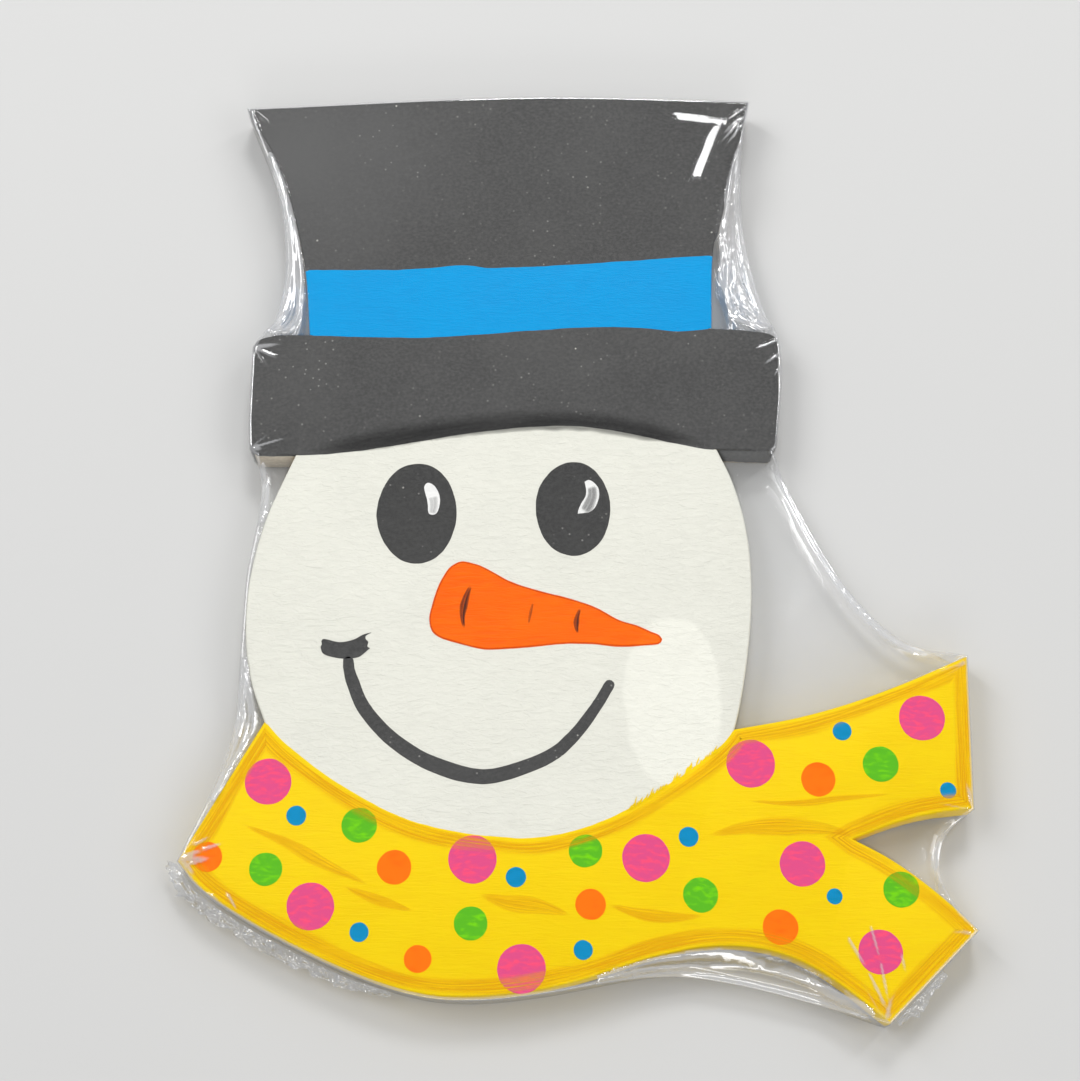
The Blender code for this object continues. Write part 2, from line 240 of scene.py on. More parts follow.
def at(loop, z):
    return [Vector((p.x, p.y, z)) for p in loop]


# ---------------- materials


class Look:
    """A node material. What its methods take may be numbers, colours or other nodes' outputs."""

    def __init__(self, name, colour, roughness):
        self.material = bpy.data.materials.new(name)
        self.material.use_nodes = True
        self.tree = self.material.node_tree
        self.shader = self.tree.nodes["Principled BSDF"]
        self.feed(self.shader, {"Base Color": colour, "Roughness": roughness, "Specular IOR Level": 0.12})

    def feed(self, made, inputs):
        for socket, value in inputs.items():
            target = made.inputs[socket]
            if hasattr(value, "is_output"):
                self.tree.links.new(value, target)
            else:
                target.default_value = (*value, 1) if target.type == "RGBA" else value

    def add(self, kind, inputs, output=0, **settings):
        """Adds a node and gives back an output."""
        made = self.tree.nodes.new("ShaderNode" + kind)
        for key, value in settings.items():
            setattr(made, key, value)
        self.feed(made, inputs)
        return made.outputs[output]

    def place(self):
        return self.add("TexCoord", {}, "Object")

    def stored(self, key):
        return self.add("Attribute", {}, "Fac", attribute_name=key)

    def grain(self, place, detail, roughness, warp=0.0):
        inputs = {"Vector": place, "Scale": 1.0, "Detail": detail, "Roughness": roughness, "Distortion": warp}
        return self.add("TexNoise", inputs, "Fac")

    def noise(self, scale, detail=3.0, rotation=0.0, seed=0.0, warp=0.0):
        """Noise over the object's own coordinates, drawn out by a scale for each axis, per metre."""
        spread = {"Scale": scale, "Rotation": (0, 0, rotation), "Location": (seed, seed * 0.7, 0)}
        return self.grain(self.add("Mapping", {"Vector": self.place(), **spread}), detail, 0.6, warp)

    def ramp(self, value, low, high, first=0.0, last=1.0):
        """From first, where the value is low, to last, where it is high."""
        ends = {"Value": value, "From Min": low, "From Max": high, "To Min": first, "To Max": last}
        return self.add("MapRange", ends, "Result", clamp=True)

    def sum(self, first, second):
        return self.add("Math", {0: first, 1: second}, operation="ADD")

    def product(self, *factors):
        first, *others = factors
        for other in others:
            first = self.add("Math", {0: first, 1: other}, operation="MULTIPLY")
        return first

    def mix(self, factor, first, second):
        """The first colour where the factor is 0, and the second where it is 1."""
        return self.add("Mix", {0: factor, 6: first, 7: second}, 2, data_type="RGBA")

    def paint(self, colour, **inputs):
        self.feed(self.shader, {"Base Color": colour, **inputs})

    def bump(self, height, strength, distance):
        """Raises the surface by the height, times the strength, times the distance in mm."""
        lift = self.add("Bump", {"Height": height, "Strength": strength, "Distance": distance * MM})
        self.feed(self.shader, {"Normal": lift})

    def oval(self, centre, half_axes):
        """How far out a point is from a flat oval's centre, 1 on the oval itself. Both in mm."""
        spot = {"Location": (centre[0] * MM, centre[1] * MM, 0)}
        size = {"Scale": (half_axes[0] * MM, half_axes[1] * MM, 1.0)}
        centred = self.add("Mapping", {"Vector": self.place(), **spot, **size}, vector_type="TEXTURE")
        return self.add("VectorMath", {0: centred}, "Value", operation="LENGTH")

    def specks(self, scale, size, rare, gathered):
        """1 on small round specks, in some of the cells of this scale, where they gather."""
        distance = self.add("TexVoronoi", {"Vector": self.place(), "Scale": scale}, "Distance")
        chance = self.add("SeparateColor", {0: distance.node.outputs["Color"]})
        dot = self.ramp(distance, size, size * 1.7, 1.0, 0.0)
        return self.product(dot, self.ramp(chance, rare, rare + 0.06), gathered)


# Brushed paints: colour, shade, roughness, contrast and bump of the brush marks, their angle, how many there
# are along and across a metre, and seed
BRUSHED = {
    "white_brushed": ((0.79, 0.788, 0.71), (0.69, 0.688, 0.62), 0.62, 0.8, 1.0, -0.05, (260, 680), 0.0),
    "blue_brushed": ((0.0, 0.33, 0.71), (0.0, 0.27, 0.62), 0.5, 0.6, 0.5, 0.02, (220, 1100), 5.0),
    "yellow_brushed": ((0.9, 0.655, 0.0), (0.85, 0.56, 0.0), 0.5, 0.6, 0.4, 0.02, (130, 1100), 8.0),
    "carrot_brushed": ((0.98, 0.165, 0.0), (0.92, 0.095, 0.0), 0.45, 0.6, 0.6, 0.25, (130, 900), 7.0),
    "white_stroke": ((0.88, 0.88, 0.86), (0.74, 0.74, 0.73), 0.5, 0.5, 0.5, 0.6, (260, 420), 4.0),
}


def brushed_paint(name):
    """Acrylic craft paint, with fine brush marks that shift its colour a little."""
    colour, shade, roughness, contrast, bump, angle, (along, across), seed = BRUSHED[name]
    look = Look(name, colour, roughness)
    marks = look.noise((along, across, along), 4.0, angle, seed, 0.9)
    patches = look.noise((45, 60, 45), 2.0, 0.0, seed + 3)
    tone = look.mix(look.ramp(marks, 0.5 - contrast / 2, 0.5 + contrast / 2), shade, colour)
    cloudy = look.mix(look.ramp(patches, 0.35, 0.7, 0.0, 0.5), tone, colour)
    look.paint(cloudy, Roughness=look.ramp(patches, 0.3, 0.7, roughness - 0.07, roughness + 0.07))
    look.bump(marks, bump, 0.4)
    return look.material


# Painted sheen on the crown: its black is lightened towards this oval's centre, at the crown's top left.
# Centre and half axes in mm
CROWN_SHEEN_OVAL = ((-95.0, 130.0), (48.0, 46.0))


def dusty_black(name, dark, light, painted_sheen=False):
    """Finely mottled matt black, with pale dust specks in loose drifts; where asked, a painted sheen lightens
    it towards an oval's centre.
    """
    look = Look(name, (dark,) * 3, 0.62)
    drift = look.noise((34, 26, 34), 3.0, 0.0, 2.0)
    soft = look.mix(look.ramp(drift, 0.3, 0.72), (dark,) * 3, (light, light, light * 0.99))
    mottle = look.ramp(look.noise((900, 1300, 900), 5.0), 0.4, 0.75, 0.0, 0.8)
    pale = light * 1.4
    tone = look.mix(mottle, soft, (pale, pale, pale * 0.98))
    if painted_sheen:
        # painted sheen: the black grows lighter towards the oval's centre, at the crown's top left
        tone = look.mix(look.ramp(look.oval(*CROWN_SHEEN_OVAL), 0.1, 1.3, 0.75, 0.0), tone, (0.125,) * 3)
    gathered = look.ramp(drift, 0.42, 0.6, 0.15, 1.0)
    fine = look.product(look.specks(460.0, 0.10, 0.56, gathered), 0.7)
    dusty = look.mix(fine, tone, (0.30, 0.295, 0.28))
    look.paint(look.mix(look.specks(200.0, 0.05, 0.82, gathered), dusty, (0.62, 0.61, 0.56)))
    look.bump(look.noise((70, 1500, 70), 4.0, 0.02, 2.0), 0.2, 0.1)
    return look.material


# ---------------- stage

# The camera looks down, and a little towards the hat
CAMERA_FOOT = Vector((-11.7, -195.8)) * MM
CAMERA_HEIGHT = 603 * MM
CAMERA_TILT = math.radians(17.6)
CAMERA_LENS = 67.1

# Soft lamps: place and size in metres, and power
LAMPS = {
    "key": ((-1.15, 0.45, 1.45), (1.0, 1.0), 11.9),
    "fill": ((1.35, -0.5, 1.2), (1.2, 0.8), 6.8),
    "back": ((0.5, 1.7, 1.0), (0.9, 0.4), 1.5),
    "window": ((0.09, 1.07, 1.16), (0.4, 0.34), 8.2),
    "front": ((0.0, -1.7, 0.9), (1.2, 0.4), 5.6),
    "tube_left": ((-1.0, 0.8, 1.25), (0.07, 0.9), 4),
    "tube_right": ((1.0, 0.8, 1.25), (0.07, 0.9), 4),
}


def make_floor():
    half = 3.0
    corners = [(-half, -half, 0), (half, -half, 0), (half, half, 0), (-half, half, 0)]
    floor = mesh_piece("floor", corners, [(0, 1, 2, 3)])
    floor.location.z = -0.2 * MM
    floor.data.materials.append(Look("pale_floor", (0.56, 0.56, 0.555), 0.85).material)


def make_lights():
    world = bpy.data.worlds.new("studio")
    world.use_nodes = True
    background = world.node_tree.nodes["Background"]
    background.inputs["Color"].default_value = (1.0, 1.0, 1.0, 1)
    background.inputs["Strength"].default_value = 0.45
    bpy.context.scene.world = world
    for name, (place, size, power) in LAMPS.items():
        light = bpy.data.lights.new(name, "AREA")
        light.shape = "RECTANGLE"
        light.size, light.size_y = size
        light.energy = power
        lamp = placed(name, light)
        lamp.location = place
        lamp.rotation_euler = (-Vector(place)).to_track_quat("-Z", "Y").to_euler()


def make_camera():
    camera = bpy.data.cameras.new("camera")
    camera.lens = CAMERA_LENS
    camera.sensor_width = 36
    camera.clip_start = 0.01
    eye = placed("camera", camera)
    eye.location = (CAMERA_FOOT.x, CAMERA_FOOT.y, BOARD_TOP + CAMERA_HEIGHT)
    eye.rotation_euler = (CAMERA_TILT, 0, 0)
    bpy.context.scene.camera = eye
    bpy.context.scene.view_settings.view_transform = "Standard"


# ---------------- board and coats

BOARD_LOOP = smoothed("board")
BOARD_TREE = tree_of(BOARD_LOOP)


def from_board_edge(p):
    return nearest(BOARD_TREE, p)[1]


def on_board_edge(p):
    """The point of the board's outline nearest to p."""
    i = nearest(BOARD_TREE, p)[0]
    here = BOARD_LOOP[i]
    spots = []
    for beside in (BOARD_LOOP[i - 1], BOARD_LOOP[(i + 1) % len(BOARD_LOOP)]):
        share = geometry.intersect_point_line(p, here, beside)[1]
        spots.append(here.lerp(beside, min(max(share, 0.0), 1.0)))
    return min(spots, key=lambda spot: (spot - p).length)


def make_board():
    """The sawn board, its top edge rounder than its back edge."""
    rough = 0.06 * MM
    outs = [n.normalized() for n in normals(BOARD_LOOP)]
    loop = [p + n * rough * noisy(p.x * 900, p.y * 900, 1) for p, n in zip(BOARD_LOOP, outs)]
    levels = {0.0: 0.55, 0.12: 0.2, 0.5: 0.0}
    rings = [at(offset(loop, -inset * MM), BOARD_TOP - drop * MM) for drop, inset in levels.items()]
    rings += [at(loop, BOARD_BOTTOM + 0.25 * MM), at(offset(loop, -0.25 * MM), BOARD_BOTTOM)]
    look = Look("sawn_fibreboard", (0.45, 0.35, 0.24), 0.8)
    fibre = look.noise((900, 900, 900), 5.0)
    layers = look.noise((60, 60, 1800), 3.0, 0.0, 4.0)
    speck = look.mix(look.ramp(fibre, 0.3, 0.7), (0.44, 0.36, 0.27), (0.64, 0.56, 0.44))
    look.paint(look.mix(look.ramp(layers, 0.35, 0.7, 0.0, 0.6), speck, (0.70, 0.64, 0.53)))
    look.bump(fibre, 0.5, 0.15)
    finish_piece(ringed("sawn_board", rings), look.material, "bare_wood", "board")


# Each coat: its slot, height over the board, and how far it laps over its neighbours, in mm
COATS = {
    "face": ("face_paint", 0.05, 0.10),
    "hat_crown": ("hat_paint", 0.07, 0.12),
    "hat_brim": ("hat_paint", 0.09, 0.15),
    "hat_band": ("band_paint", 0.12, 0.2),
    "scarf": ("scarf_paint", 0.10, 0.15),
}
COAT_INSET = 0.15 * MM  # how far the CAD coats stay inside their true outline
# A coat's rings, as inset and drop in mm, three below its top and two below its hem: where it wraps over the
# board's edge, and where it laps over another coat
WRAPPED = (((0.55, 0.0), (0.18, 0.12), (-0.06, 0.55)), ((-0.06, 0.0), (0.1, 0.05)))
LAPPED = (((0.3, 0.0), (0.12, 0.01), (0.02, 0.035)), ((0.0, 0.0), (0.02, 0.03)))


def hem_on_wall(p):
    """Where the paint on the wall ends: near the back, but high up under the brim's left end."""
    ragged = noisy(p.x * 260, p.y * 260, 5) + 0.5 * noisy(p.x * 900, p.y * 900, 9)
    if p.x < -88.5 * MM and 20 * MM < p.y < 25 * MM:
        return BOARD_TOP - (1.1 + 0.5 * ragged) * MM
    return BOARD_BOTTOM + (1.0 + 0.9 * ragged) * MM


def make_coat(name, material):
    """A coat of paint that covers its part of the face and wraps onto the board's wall."""
    slot, height, lap = COATS[name]
    piece, cad_node = f"{name}_coat", f"{name}_paint"
    loop = offset(smoothed(cad_node), COAT_INSET)
    wraps = [from_board_edge(p) < 0.9 * MM for p in loop]
    strayed = wobbled(offset(loop, lap * MM), 0.22 * MM, 9 * MM, len(piece))
    loop = [on_board_edge(p) if wrap else s for p, s, wrap in zip(loop, strayed, wraps)]
    top = BOARD_TOP + height * MM
    columns = []
    for p, n, wrap in zip(loop, normals(loop), wraps):
        upper, lower = WRAPPED if wrap else LAPPED
        hem = hem_on_wall(p) if wrap else BOARD_TOP + 0.01 * MM
        levels = [(top, *ring) for ring in upper] + [(hem, *ring) for ring in lower]
        columns.append([Vector((*(p - n * inset * MM), z - drop * MM)) for z, inset, drop in levels])
    finish_piece(ringed(piece, list(zip(*columns)), close_bottom=False), material, slot, cad_node)


def make_coats():
    make_coat("face", brushed_paint("white_brushed"))
    # the crown's black carries a painted sheen, lightest at its top left
    make_coat("hat_crown", dusty_black("black_painted_sheen", 0.062, 0.080, painted_sheen=True))
    make_coat("hat_brim", dusty_black("black_brushed", 0.062, 0.080))
    make_coat("hat_band", brushed_paint("blue_brushed"))
    make_coat("scarf", brushed_paint("yellow_brushed"))


# ---------------- dots, eyes, nose and mouth

FEATURE_FOOT = BOARD_TOP + 0.03 * MM  # painted features sink a little into the coat below
GLINT_FOOT = FEATURE_FOOT + 0.11 * MM


def raised(name, loop, height, edge, material, slot, cad_node, foot=FEATURE_FOOT):
    """A painted mark with a rounded edge and a sunken middle. Height and edge in mm."""
    profile = ((1.0, 0.96), (0.5, 1.0), (0.15, 0.75), (0.0, 0.0))
    rings = [at(offset(loop, -edge * inset * MM), foot + height * rise * MM) for inset, rise in profile]
    finish_piece(ringed(name, rings), material, slot, cad_node)


def clinging_dab(name, dull, bright, share, seed):
    """A dab of paint with brighter veins, where the film clings to it."""
    look = Look(name, dull, 0.45)
    moved = look.add("Mapping", {"Vector": look.place(), "Location": (seed, seed * 0.7, 0)})
    warp = look.add("TexNoise", {"Vector": moved, "Scale": 160.0, "Detail": 2.0, "Roughness": 0.5}, "Color")
    bend = look.add("VectorMath", {0: warp, "Scale": 3.5 * MM}, operation="SCALE")
    bent = look.add("VectorMath", {0: moved, 1: bend}, operation="ADD")
    veins = look.grain(look.add("Mapping", {"Vector": bent, "Scale": (300, 800, 300)}), 3.0, 0.55)
    edge = 0.58 - 0.24 * share
    wet = look.ramp(veins, edge, edge + 0.2)
    look.paint(look.mix(wet, dull, bright), Roughness=look.ramp(wet, 0.0, 1.0, 0.5, 0.35))
    look.bump(veins, 0.15, 0.1)
    return look.material


# Paint of the dots: dull and bright tone, how far the bright veins spread, and seed
DABS = {
    "pink": ((0.72, 0.075, 0.235), (0.90, 0.08, 0.19), 0.5, 1.0),
    "green": ((0.1, 0.465, 0.012), (0.185, 0.645, 0.004), 0.4, 4.0),
    "orange": ((0.97, 0.175, 0.0), (0.93, 0.14, 0.0), 0.3, 6.0),
    "blue": ((0.0, 0.255, 0.515), (0.0, 0.22, 0.41), 0.35, 9.0),
}


def make_dots():
    paints = {colour: clinging_dab(f"{colour}_dab", *tones) for colour, tones in DABS.items()}
    for cad_node in sorted(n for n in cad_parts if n.startswith("dot_")):
        _, colour, number = cad_node.split("_")
        loop = hand_drawn(cad_node, 0.6, 0.2, 6, int(number) * 3.7)
        raised(f"{colour}_dab_{number}", loop, 0.13, 0.35, paints[colour], f"{colour}_dot_paint", cad_node)


def make_eyes():
    black, white = dusty_black("black_stroke", 0.044, 0.056), brushed_paint("white_stroke")
    for side in ("left", "right"):
        eye, glint = f"eye_{side}", f"eye_highlight_{side}"
        loop = hand_drawn(eye, 0.8, 0.3, 8, len(side))
        raised(f"painted_eye_{side}", loop, 0.14, 0.4, black, "line_paint", eye)
        loop = hand_drawn(glint, 0.4, 0.12, 3, len(side))
        raised(f"eye_glint_{side}", loop, 0.12, 0.3, white, "face_paint", glint, GLINT_FOOT)


def make_nose():
    loop = hand_drawn("nose", 0.7, 0.15, 7, 2)
    raised("carrot_nose", loop, 0.14, 0.4, brushed_paint("carrot_brushed"), "nose_paint", "nose")


def make_mouth():
    """The smile, whose left end is tucked under the short stroke across it."""
    line = dusty_black("black_line", 0.053, 0.066)
    smile = hand_drawn("mouth_smile", 0.7, 0.15, 7, 5)
    corner = smoothed("mouth_corner", 0.4 * MM)
    low = span_of(corner, 1)[0]
    tucked = Vector((0, 1.6 * MM))
    smile = [p + tucked if p.y > low - 2.5 * MM and p.x < 0 else p for p in smile]
    raised("smile_stroke", smile, 0.15, 0.4, line, "line_paint", "mouth_smile")
    raised("smile_corner", corner, 0.15, 0.02, line, "line_paint", "mouth_corner")


# ---------------- dry brush and glaze


def quads(steps, rows):
    """The faces between neighbouring rows of points, each step holding this many rows."""
    starts = [i * rows + r for i in range(steps) for r in range(rows - 1)]
    return [(first, first + rows, first + rows + 1, first + 1) for first in starts]


def strip(path, width_at, seed, cover_at, rows=9):
    """A brush stroke: its points, faces, and how far along (mm), across (-1 to 1) and covered they are."""
    points, marks = [], []
    length = 0.0
    for i, (before, p, after) in enumerate(zip([path[0], *path], path, [*path[1:], path[-1]])):
        ahead = (after - before).normalized()
        side = Vector((-ahead.y, ahead.x))
        length += (p - before).length
        share = i / (len(path) - 1)
        for r in range(rows):
            across = 2 * r / (rows - 1) - 1
            swerve = 0.12 * noisy(length / (6 * MM), across, seed)
            points.append(p + side * (width_at(share) / 2) * (across + swerve))
            marks.append((length / MM, across, cover_at(share, across)))
    return points, quads(len(path) - 1, rows), marks


def stroke_piece(name, strips, height, material, slot, *nodes, step=0.004):
    """Brush strokes in one piece, each a step higher. Height over the board and step in mm."""
    points, faces, marks = [], [], []
    for count, (spots, between, own_marks) in enumerate(strips):
        first = len(points)
        points += at(spots, BOARD_TOP + (height + step * count) * MM)
        faces += [tuple(first + i for i in quad) for quad in between]
        marks += [(along + 37.0 * count, across, cover) for along, across, cover in own_marks]
    obj = mesh_piece(name, points, faces)
    for key, values in zip(("along", "across", "cover"), zip(*marks)):
        mark(obj, key, values)
    finish_piece(obj, material, slot, *nodes)


def dry_brush(name, colour, roughness, cover, ragged, streaks, low):
    """Thin paint that lets the coat below show through."""
    look = Look(name, colour, roughness)
    along = look.product(look.stored("along"), 0.035)
    across = look.product(look.stored("across"), streaks / 2)
    bristles = look.grain(look.add("CombineXYZ", {"X": along, "Y": across}), 5.0, 0.65)
    marks = look.ramp(bristles, 0.5 - ragged, 0.5 + ragged, low, 1.0)
    look.feed(look.shader, {"Alpha": look.product(marks, look.stored("cover"), cover)})
    return look.material


def ends(share, fade=0.12):
    """Cover that fades towards both ends of a stroke."""
    return smoothstep(0, fade, share) * smoothstep(0, fade, 1 - share)


def both_sides(share, across):
    """Cover that fades towards both sides and both ends of a stroke."""
    return ends(share) * (1 - smoothstep(0.65, 1.0, abs(across)))


def leaf(width):
    """A stroke pressed down in its middle and lifted at both ends."""
    return lambda t: width * max(0.1, min(1.0, 2.2 * min(t, 1 - t)) ** 0.7)


def crossings(loop, y):
    """Where a loop crosses the level line at y, from left to right."""
    sides = zip(loop, loop[1:] + loop[:1])
    return sorted(a.x + (y - a.y) / (b.y - a.y) * (b.x - a.x) for a, b in sides if (a.y > y) != (b.y > y))


def upright(cad_node, full, reach=1.0):
    """A line up a node's outline to this share of its height, and its width there times full."""
    loop = rim(cad_node)
    low, high = span_of(loop, 1)
    path, widths = [], []
    for k in range(1, 24):
        across = crossings(loop, y := low + (high - low) * reach * k / 24)
        if len(across) >= 2:
            path.append(Vector(((across[0] + across[-1]) / 2, y)))
            widths.append((across[-1] - across[0]) * full)
    return path, lambda share: widths[min(int(share * len(widths)), len(widths) - 1)]


def make_nose_edge():
    """The darker rim where orange paint pooled."""
    loop = offset(smoothed("nose", 0.7 * MM), -0.3 * MM)
    paint = dry_brush("pooled_orange", (0.50, 0.045, 0.0), 0.45, 0.55, 0.3, 3.0, 0.3)
    loop.append(loop[0])
    edge = strip(loop, lambda t: 0.8 * MM, 31.0, lambda t, across: 1 - smoothstep(0.3, 1.0, abs(across)))
    stroke_piece("carrot_edge", [edge], 0.185, paint, "nose_paint")


# The faint strokes on the nose, and how much paint each holds
NOSE_STROKES = {"left": 0.95, "middle": 0.5, "right": 0.9}


def make_nose_strokes():
    """Near-dry black strokes over the nose, each inside its CAD outline."""
    for place, hold in NOSE_STROKES.items():
        cad_node = f"nose_stroke_{place}"
        paint = dry_brush(f"near_dry_black_{place}", (0.03, 0.022, 0.02), 0.5, hold, 0.16, 3.0, 0.15)
        stroke = strip(*upright(cad_node, 1.15), 5.0, both_sides)
        stroke_piece(f"carrot_stroke_{place}", [stroke], 0.2, paint, "line_paint", cad_node)


# The grey in each eye's highlight: how much there is, and how far up it reaches
GLINT_SHADES = {"left": (0.35, 0.6), "right": (0.8, 0.85)}


def make_glint_shades():
    """Grey where a highlight's white is thin over the black."""
    for side, (hold, reach) in GLINT_SHADES.items():
        paint = dry_brush(f"thin_white_{side}", (0.22,) * 3, 0.5, hold, 0.25, 4.0, 0.35)
        stroke = strip(*upright(f"eye_highlight_{side}", 0.75, reach), 9.0, both_sides)
        stroke_piece(f"glint_shade_{side}", [stroke], 0.275, paint, "line_paint")


def make_brim_shade():
    """The darker dry-brushed band along the brim's lower edge."""
    shade = dry_brush("brim_shade_brushed", (0.012,) * 3, 0.5, 0.62, 0.35, 5.0, 0.35)
    loop = smoothed("brim_shadow")
    low, high = span_of(loop, 0)
    middle = []
    for x in np.linspace(low, high, 121):
        near = [p for p in loop if abs(p.x - x) < 1.2 * MM]
        if near:
            middle.append(Vector((x, sum(span_of(near, 1)) / 2)))
    around = [middle[max(0, i - 4) : i + 5] for i in range(len(middle))]
    path = [sum(some, Vector((0, 0))) / len(some) for some in around]

    def cover(share, across):
        return ends(share, 0.15) * (1 - smoothstep(-0.2, 1.0, across)) * smoothstep(-1.0, -0.75, across)

    band = strip(path, lambda t: 8.5 * MM * min(1, 4 * t + 0.3, 4 * (1 - t) + 0.3), 3.0, cover, rows=13)
    stroke_piece("brim_shade", [band], 0.115, shade, "hat_paint", "brim_shadow")


# Fold strokes on the scarf: centre line and width in mm
FOLDS = (
    (((-101.3, -94.0), (-88.5, -99.2), (-76.8, -105.5), (-62.3, -112.3)), 4.2),
    (((-70.0, -112.6), (-59.4, -116.8), (-49.1, -119.9)), 3.8),
    (((-29.9, -115.0), (-21.7, -117.3), (-10.2, -118.9), (-2.4, -121.2)), 6.0),
    (((8.5, -117.9), (18.0, -120.7), (28.2, -121.8), (36.8, -121.2)), 4.4),
    (((38.1, -97.6), (48.3, -95.4), (63.4, -94.7), (75.3, -95.6), (83.2, -97.7)), 6.4),
    (((50.4, -86.9), (65.0, -87.7), (80.8, -86.0), (95.1, -84.8)), 2.4),
)


def fold_cover(share, across):
    return 0.75 * both_sides(share, across)


def edge_glaze():
    """A band of glaze inside the scarf's whole outline, mitred at its corners."""
    loop = offset(smoothed("scarf_paint"), COAT_INSET)
    tree, outs, corners = tree_of(loop), normals(loop), sharp_points(loop)
    depths = [0.25 + 0.6 * r for r in range(13)]
    points, marks = [], []
    length = 0.0
    for i in [*range(len(loop)), 0]:
        p, out = loop[i], outs[i]
        length += (p - loop[i - 1]).length / MM if points else 0.0
        corner = min(corners, key=lambda c: (loop[c] - p).length)
        reach = 5.6 + 1.6 * noisy(length / 22, 0.5, 3.0)
        start = 1.1 + 0.9 * noisy(length / 30, 4.5, 8.0)
        hold = 0.82 + 0.4 * noisy(length / 26, 7.5, 2.0)
        for r, depth in enumerate(depths):
            q = p - out * depth * MM
            if nearest(tree, q)[1] < 0.93 * depth * MM:
                q = loop[corner] - outs[corner] * depth * MM
            points.append(q)
            cover = smoothstep(start - 0.7, start + 0.3, depth) * (1 - smoothstep(0.7 * reach, reach, depth))
            marks.append((length, 2 * r / (len(depths) - 1) - 1, cover * hold))
    return points, quads(len(loop), len(depths)), marks


def make_glaze():
    """The ochre shading along the scarf's edges and over its folds."""
    glaze = dry_brush("ochre_glaze", (0.84, 0.42, 0.0), 0.5, 0.76, 0.17, 13.0, 0.05)
    strips = [edge_glaze()]
    for i, (points, width) in enumerate(FOLDS):
        path = spline([Vector(p) * MM for p in points])
        strips.append(strip(path, leaf(width * MM), 60 + i * 5.0, fold_cover))
    stroke_piece("scarf_glaze", strips, 0.19, glaze, "scarf_paint")


# Where bristles ran over the face from the scarf's edge: least and greatest x and y in mm
FRINGE = ((13.0, -90.0), (41.0, -69.0))


def make_fringe():
    """The ends of yellow strokes over the face, a tapered sliver for each bristle."""
    loop = offset(smoothed("scarf_paint", 0.5 * MM), COAT_INSET)
    outs = normals(loop)
    (left, low), (right, high) = FRINGE
    places = [i for i, p in enumerate(loop) if left < p.x / MM < right and low < p.y / MM < high]
    chance = random.Random(21)
    strips = []
    for k in range(64):
        i = chance.choice(places)
        out, ahead = outs[i].normalized(), (loop[i - 1] - loop[i]).normalized()
        swing, length = chance.uniform(0.1, 0.8), chance.uniform(1.4, 3.4) * MM
        first = loop[i] - out * chance.uniform(0.0, 0.4) * MM
        last = first + (ahead * math.cos(swing) + out * math.sin(swing)) * length
        width = leaf(chance.uniform(0.25, 0.55) * MM)
        strips.append(strip(spline([first, last], 0.3 * MM), width, 7.0 * k, both_sides, rows=3))
    yellow = bpy.data.materials["yellow_brushed"]
    stroke_piece("scarf_fringe", strips, 0.11, yellow, "scarf_paint", step=0.0025)


# ---------------- shrink film: its shape

FILM_FACE = BOARD_TOP + 0.36 * MM  # height of the film over the painted face
FILM_REST = 0.2 * MM
FILM_MID = (FILM_FACE + FILM_REST) / 2
FILM_HALF = (FILM_FACE - FILM_REST) / 2
FILM_LOOP = offset(smoothed("film_front"), -0.15 * MM)
FILM_TREE = tree_of(FILM_LOOP)
BEND = 0.8 * MM  # radius of the film's bend over the board's edge
BEAD = 0.55 * MM  # half the thickness of the rolled edge where the film spans a hollow

# Single creases over the painted face: points, width and height, in mm
CREASES = (
    (((58.3, 148.8), (48.9, 141.8)), 0.4, 0.4),
    (((57.8, 146.0), (49.0, 135.4)), 0.4, 0.55),
    (((57.6, 143.6), (50.6, 134.2)), 0.35, 0.5),
    (((56.4, 145.4), (50.0, 138.6)), 0.5, 0.6),
    (((57.4, 142.4), (54.2, 131.6)), 0.4, 0.6),
    (((58.0, 141.0), (55.4, 128.0)), 0.35, 0.6),
    (((55.6, 143.0), (53.0, 137.0)), 0.4, 0.45),
    (((66.4, 64.0), (58.4, 60.4)), 0.4, 0.5),
    (((66.8, 59.6), (60.6, 55.0)), 0.45, 0.5),
    (((66.8, 55.2), (63.0, 50.4)), 0.35, 0.4),
    (((78.6, -126.5), (84.5, -137.0), (89.8, -148.6)), 0.5, 0.4),
    (((85.8, -123.0), (88.4, -134.0), (90.2, -146.0)), 0.45, 0.4),
    (((94.4, -131.0), (95.8, -138.0)), 0.5, 0.35),
    (((-118.6, -104.0), (-113.6, -101.8), (-107.0, -99.8)), 0.5, 0.5),
    (((-117.8, -106.4), (-111.4, -104.6)), 0.45, 0.45),
    (((-116.4, -101.0), (-110.6, -97.6)), 0.45, 0.4),
    (((-111.0, -114.0), (-105.8, -118.6), (-100.0, -123.2)), 0.5, 0.5),
    (((-105.4, -113.6), (-101.6, -119.6)), 0.45, 0.45),
    (((-103.0, -120.0), (-98.4, -125.6)), 0.5, 0.45),
    (((-93.6, -126.8), (-87.8, -131.4)), 0.45, 0.4),
)
# Flat tilted patches of film: foot, head and width in mm, and fall from foot to head and from right to left
TILTED = (
    ((33.6, 143.4), (51.0, 141.4), 2.5, 0.0, 0.085),
    ((41.6, 120.6), (49.4, 142.4), 3.4, 0.05, 0.06),
)
TILTED_MIDDLE = Vector((46.5, 133.0)) * MM
